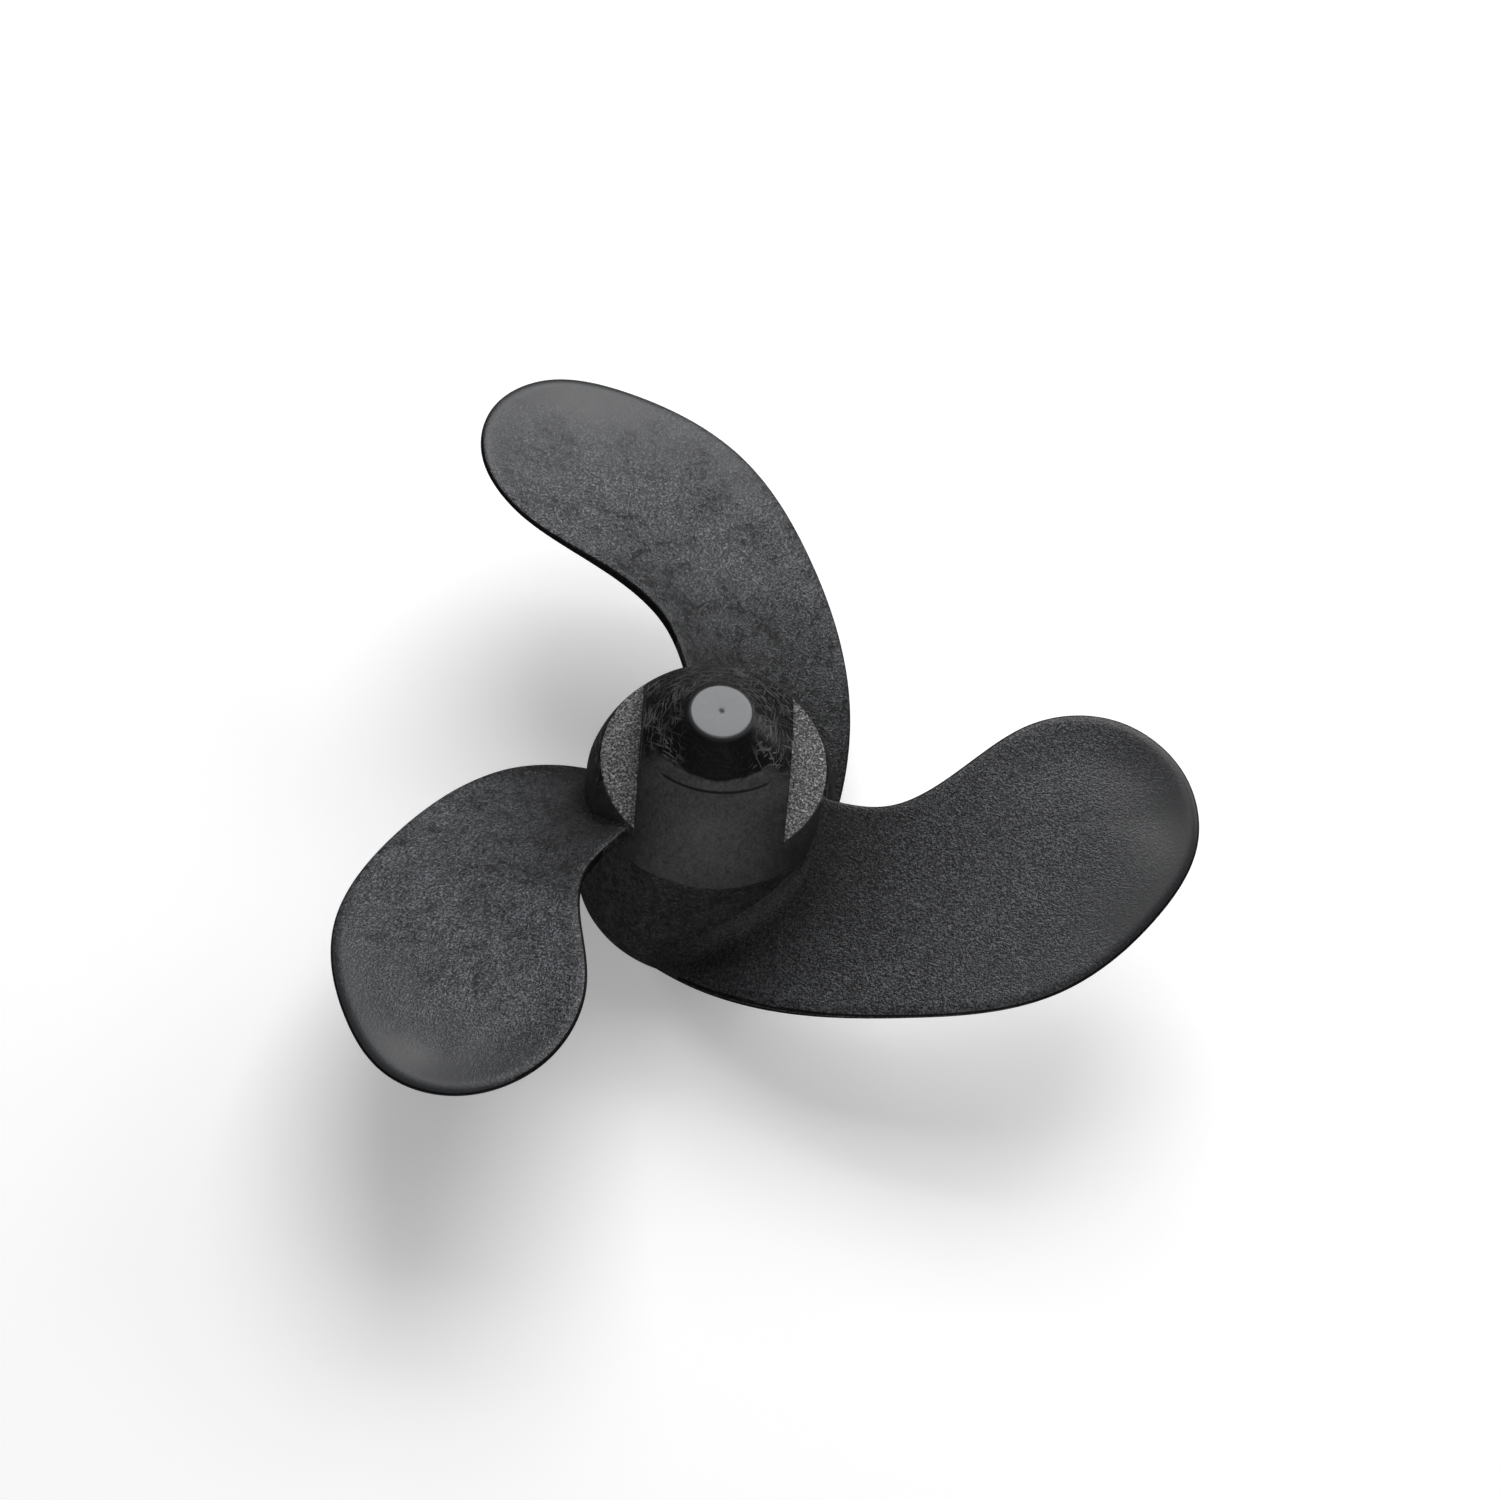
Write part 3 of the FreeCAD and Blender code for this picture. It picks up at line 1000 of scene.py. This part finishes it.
# Noise scales are in periods per metre, streaks are a turn in degrees and three scales, and
# the other pairs are where a change starts and ends, in metres from the shaft
FINE_GRAIN = 3000.0
COARSE_GRAIN = 1900.0
GRAIN_CONTRAST = (0.38, 0.62)
FLECKS = ((25, (700, 3400, 3400)), (-60, (800, 3200, 3200)))
FLECK_CONTRAST = (0.54, 0.68)
FLOW_PATCHES = 130.0
TANGLE = 420.0
SMOOTH_TIP = (0.074, 0.104)
# Span over which the blades darken towards the shaft: painted shade near the hub, partly a darker
# skin
ROOT_SHADE_SPAN = (0.030, 0.072)
ROOT_DULLNESS = (0.030, 0.080)
MORE_MARKS = (0.040, 0.075)
SCRATCHES = ((40, (200, 3000, 250)), (-35, (180, 2800, 220)), (95, (220, 3200, 260)))


def moulding_material(name, dark, light, grain_depth, patch_depth=0.00003, roughness=0.50,
                      root_shade_factor=1.0, marks=1.0, specular=0.5):
    """Black fibre-filled plastic: fine grain, short flecks of fibre, flow patches and dark
    worm-like marks, all fading out to a smooth skin towards the blade tips. With a root
    factor below one, the colour darkens towards the shaft: painted shade where the hub and
    the roots shade each other, partly a darker skin there."""
    material, shader = node_material(name, roughness, specular)
    make = Maker(material)
    place = make.place()
    wander = make.times(make.noise(place, 45.0), 0.022)
    reach = make.plus(shaft_distance(make, place), wander)
    rough_part = make.span(reach, *SMOOTH_TIP, 1.0, 0.06)

    fine = make.span(make.noise(place, FINE_GRAIN, 1.0, 0.6), *GRAIN_CONTRAST, 0, 1)
    coarser = make.span(make.noise(place, COARSE_GRAIN, 1.0, 0.6), *GRAIN_CONTRAST, 0, 1)
    flecks = [make.streaks(place, *fleck, 0.4) for fleck in FLECKS]
    fibre = make.times(make.span(make.most(*flecks), *FLECK_CONTRAST, 0, 1), 0.3)
    speck = make.plus(make.times(fine, 0.4), make.times(coarser, 0.38), fibre)

    patch = make.noise(place, FLOW_PATCHES, 5.0, 0.65, 0.6)
    cloud = make.span(patch, 0.36, 0.64, 0, 1)
    more = make.span(reach, *MORE_MARKS, 0.05 * marks, 0.0)
    tangle = make.minus(make.noise(place, TANGLE, 4.0, 0.7, 1.6), more)
    worms = make.times(
        make.span(tangle, 0.38, 0.47, marks, 0),
        make.span(make.minus(patch, more), 0.43, 0.55, 1, 0),
        rough_part,
    )

    lightness = make.math("MULTIPLY_ADD", cloud, 0.10 + 0.20 * marks, 0.89 - 0.12 * marks)
    unmarked = make.minus(1.0, make.times(worms, 0.9))
    busy = make.times(speck, speck, lightness, unmarked, rough_part)
    tone = make.plus(busy, make.times(make.minus(1.0, rough_part), 0.11))
    # Darker towards the shaft: painted shade of the hub and the blade roots, partly a darker skin
    # there
    root_shade_and_tone = make.span(reach, *ROOT_SHADE_SPAN, root_shade_factor, 1.0)
    colour = make.mix(make.times(tone, root_shade_and_tone), (*dark, 1), (*light, 1))
    make.link(colour, shader.inputs["Base Color"])

    clouded = make.times(cloud, rough_part)
    polish = make.span(clouded, 0.0, 1.0, roughness + 0.02, roughness - 0.03)
    dull = make.span(reach, *ROOT_DULLNESS, 0.12 * (1 - root_shade_factor) * marks, 0.0)
    make.link(make.plus(polish, make.times(worms, 0.2), dull), shader.inputs["Roughness"])
    coarse = make.bump(make.minus(clouded, worms), patch_depth)
    grain = make.bump(make.times(speck, rough_part), grain_depth, coarse)
    make.link(grain, shader.inputs["Normal"])
    return material


def top_material(name, dark, light, worn_and_lit_tone, groove_shade_tone):
    """The hub's top: a dull dome whose lighter tone is partly wear and partly painted light,
    with painted shade darkening it towards the flats, and a scratched gloss inside the groove.
    """
    material, shader = node_material(name, 0.4)
    make = Maker(material)
    place = make.place()
    axes = make.nodes.new("ShaderNodeSeparateXYZ")
    make.link(place, axes.inputs[0])
    x, y, z = axes.outputs
    aside = make.math("ABSOLUTE", x)
    distance = shaft_distance(make, place)
    facing = make.math("DIVIDE", make.math("ABSOLUTE", y), make.most(distance, 0.001))

    # Where the gloss is: inside the groove in front, and everywhere behind, with ragged edges
    border = make.math("MULTIPLY_ADD", facing, GROOVE_SPREAD * MM, distance)
    edge = (GROOVE_RADIUS + GROOVE_SPREAD) * MM
    loose = make.times(make.noise(place, 500.0, 3.0), aside, 0.16)
    inside = make.span(make.plus(border, loose), edge - 0.0017, edge - 0.0012, 1.0, 0.0)
    ragged = make.math("MULTIPLY_ADD", make.noise(place, 350.0, 4.0, 0.6), 0.006, y)
    back = make.span(ragged, -0.0065, -0.0025, 0.0, 1.0)
    nose = make.times(make.most(inside, back), make.span(z, 0.028, 0.041, 0.0, 1.0))
    # The groove line is painted near-black: painted shade in the crease between the dome and the
    # cone
    off_groove = make.math("ABSOLUTE", make.minus(border, edge))
    groove = make.times(
        make.span(off_groove, 0.0001, 0.0003, 1.0, 0.0),
        make.span(facing, 0.64, 0.76, 0.0, 1.0),
    )
    nose_edge = make.span(distance, 0.0060, 0.0068, 1.0, 0.0)

    # Scratches: arcs round the shaft and three families of straight lines
    warp = make.times(make.noise(place, 160.0), 0.0045)
    around = make.nodes.new("ShaderNodeCombineXYZ")
    make.link(make.times(make.math("ARCTAN2", y, x), 4.0), around.inputs["X"])
    make.link(make.times(make.plus(distance, warp), 3000.0), around.inputs["Y"])
    make.link(make.times(z, 200.0), around.inputs["Z"])
    arcs = make.span(make.noise(around.outputs[0], 1.0, 1.0, 0.5, 0.1), 0.58, 0.68, 0, 1)
    lines = [make.streaks(place, *line, 0.3) for line in SCRATCHES]
    lines = make.span(make.most(*lines), 0.62, 0.68, 0, 0.9)
    patch = make.span(make.noise(place, 180.0, distortion=0.4), 0.36, 0.62, 0.3, 1.0)
    beside = make.span(make.plus(aside, make.times(warp, 0.3)), 0.0060, 0.0095, 0.08, 1.0)
    behind = make.span(y, 0.0, 0.006, 0.0, 1.0)
    kept = make.times(make.most(beside, behind), make.math("MULTIPLY_ADD", nose, 0.8, 0.2))
    scratch = make.times(make.most(arcs, lines), patch, kept)

    smear = make.noise(make.stretch(place, (900, 900, 160)), 1.0, 3.0, 0.6, 0.3)
    fine = make.span(make.noise(place, 1700.0, 2.0, 0.6), 0.35, 0.65, 0.0, 1.0)
    flaked = make.times(scratch, make.span(z, 0.034, 0.046, 0.5, 0.0))
    worn = make.plus(make.times(smear, 0.6), make.times(fine, 0.3), flaked)
    # Lighter dull tone on the dome, partly wear and partly painted light, fading darker towards
    # the flats as painted shade
    side_shade = make.span(aside, 0.008, 0.0165, 1.0, 0.38)
    dull = make.mix(make.times(worn, side_shade), (*dark, 1), (*worn_and_lit_tone, 1))
    bare = make.mix(nose, dull, (*dark, 1))
    marked = make.mix(scratch, bare, (*light, 1))
    make.link(make.mix(groove, marked, (*groove_shade_tone, 1)), shader.inputs["Base Color"])
    gloss = make.span(nose, 0.0, 1.0, 0.55, 0.27)
    edges = make.times(make.most(groove, nose_edge), 0.4)
    make.link(make.plus(gloss, make.times(scratch, 0.22), edges), shader.inputs["Roughness"])
    relief = make.plus(scratch, make.times(worn, 0.5))
    make.link(make.bump(relief, 0.00005), shader.inputs["Normal"])
    return material


def simple_material(name, dark, light, scale, roughness, metallic=0.0):
    material, shader = node_material(name, roughness)
    shader.inputs["Metallic"].default_value = metallic
    make = Maker(material)
    grain = make.noise(make.place(), scale, detail=3.0)
    make.link(make.mix(grain, (*dark, 1), (*light, 1)), shader.inputs["Base Color"])
    return material


# ======== put together
hub = make_hub()
blades = make_blades()
plug = make_plug()
bush = make_bush()

skin = moulding_material(
    "moulding",
    dark=(0.002, 0.002, 0.0023),
    light=(0.225, 0.235, 0.260),
    grain_depth=0.00014,
    patch_depth=0.00006,
    roughness=0.38,
    root_shade_factor=0.19,
)
even_skin = moulding_material(
    "moulding_even",
    dark=(0.002, 0.002, 0.0023),
    light=(0.160, 0.165, 0.182),
    grain_depth=0.00013,
    roughness=0.38,
    root_shade_factor=0.30,
    marks=0.2,
)
# Near-black, rough and weakly glossy: painted shade on the blades' edges, partly the rim's real
# dark colour
rim_painted_shade_skin = moulding_material(
    "moulding_rim_painted_shade",
    dark=(0.001, 0.001, 0.001),
    light=(0.012, 0.012, 0.013),
    grain_depth=0.00004,
    roughness=0.65,
    specular=0.2,
)
# A darker copy of the moulding for the hub's wall and the slab's flats: painted shade where the
# wall faces the dark blades and shadowed floor, partly darker patches of its own
wall_painted_shade_skin = moulding_material(
    "moulding_wall_painted_shade",
    dark=(0.004, 0.004, 0.004),
    light=(0.073, 0.073, 0.070),
    grain_depth=0.00004,
    patch_depth=0.00006,
)
shelf_skin = moulding_material(
    "moulding_shelf",
    dark=(0.004, 0.004, 0.0045),
    light=(0.46, 0.46, 0.47),
    grain_depth=0.00022,
    marks=0.0,
)
top_skin = top_material(
    "moulding_nose",
    dark=(0.004, 0.004, 0.0045),
    light=(0.078, 0.078, 0.076),
    worn_and_lit_tone=(0.086, 0.084, 0.087),
    groove_shade_tone=(0.006, 0.006, 0.006),
)
grey = simple_material("plug_grey", (0.115, 0.121, 0.130), (0.135, 0.141, 0.150), 900.0, 0.35)
metal = simple_material("bush_metal", (0.60, 0.44, 0.20), (0.75, 0.58, 0.30), 1500.0, 0.35, 1.0)

for material in (wall_painted_shade_skin, wall_painted_shade_skin, shelf_skin, top_skin):
    hub.data.materials.append(material)
for blade, cover in zip(blades, (even_skin, skin, skin)):
    blade.data.materials.append(cover)
    blade.data.materials.append(rim_painted_shade_skin)
plug.data.materials.append(grey)
bush.data.materials.append(metal)

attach(hub, "propeller")
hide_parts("hub")
for number, blade in enumerate(blades):
    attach(blade, "propeller")
    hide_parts("blade_%d" % (number + 1))
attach(plug, "propeller")
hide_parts("nose_plug")
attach(bush, "shaft_sleeve")
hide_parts("shaft_bush")

# ======== floor, lights, camera
FLOOR_GAP = 0.00005
floor_shape = bmesh.new()
bmesh.ops.create_grid(floor_shape, x_segments=8, y_segments=8, size=3.0)
floor = new_object("floor", finished(floor_shape, "floor"))
floor.location.z = -FLOOR_GAP
floor_material, floor_shader = node_material("floor", 0.9, 0.1)
floor_shader.inputs["Base Color"].default_value = (0.92, 0.92, 0.92, 1)
floor_shader.inputs["Emission Color"].default_value = (1, 1, 1, 1)
floor_shader.inputs["Emission Strength"].default_value = 0.28
floor.data.materials.append(floor_material)
floor.visible_glossy = False


def towards(azimuth, elevation):
    """Unit vector in a compass direction (0 = +Y, 90 = +X) and elevation, in degrees."""
    a = math.radians(azimuth)
    e = math.radians(elevation)
    return Vector((math.sin(a) * math.cos(e), math.cos(a) * math.cos(e), math.sin(e)))


def area_light(name, azimuth, elevation, distance, width, height, power):
    """A softbox that faces the object."""
    data = bpy.data.lights.new(name, "AREA")
    data.shape = "RECTANGLE"
    data.size = width
    data.size_y = height
    data.energy = power
    lamp = bpy.data.objects.new(name, data)
    bpy.context.scene.collection.objects.link(lamp)
    away = towards(azimuth, elevation)
    lamp.location = away * distance
    lamp.rotation_euler = away.to_track_quat("Z", "Y").to_euler()


area_light("back", 5, 45, 1.3, 1.0, 0.6, 8.3)
area_light("high", 5, 65, 1.3, 1.0, 0.6, 5.5)
area_light("right", 50, 30, 1.3, 1.0, 0.6, 5.2)
area_light("top", 0, 88, 1.3, 0.8, 0.8, 0.8)
area_light("front", 180, 14, 1.3, 1.2, 0.5, 4.2)

world = bpy.data.worlds.new("studio")
world.use_nodes = True
world_make = Maker(world)
seen = world_make.nodes.new("ShaderNodeLightPath").outputs["Is Camera Ray"]
backdrop = world_make.nodes["Background"]
backdrop.inputs["Color"].default_value = (1, 1, 1, 1)
# Nearly white where the camera looks past the floor, and only a weak fill on the object
strength = world_make.math("MULTIPLY_ADD", seen, 0.9, 0.05)
world_make.link(strength, backdrop.inputs["Strength"])
bpy.context.scene.world = world
bpy.context.scene.view_settings.view_transform = "Standard"

CAMERA_TARGET = Vector((0.00804, 0.01762, 0.01976))
CAMERA_AZIMUTH = 4.91
CAMERA_ELEVATION = 56.97
CAMERA_ROLL = 9.2
CAMERA_DISTANCE = 0.9495
FOCAL_LENGTH = 115.2
camera_data = bpy.data.cameras.new("camera")
camera_data.lens = FOCAL_LENGTH
camera = bpy.data.objects.new("camera", camera_data)
bpy.context.scene.collection.objects.link(camera)
back = towards(CAMERA_AZIMUTH + 180, CAMERA_ELEVATION)
level = towards(CAMERA_AZIMUTH + 90, 0)
rise = back.cross(level)
roll = math.radians(CAMERA_ROLL)
right = level * math.cos(roll) + rise * math.sin(roll)
up = rise * math.cos(roll) - level * math.sin(roll)
turned = Matrix((right, up, back)).transposed().to_4x4()
camera.matrix_world = Matrix.Translation(CAMERA_TARGET + back * CAMERA_DISTANCE) @ turned
bpy.context.scene.camera = camera
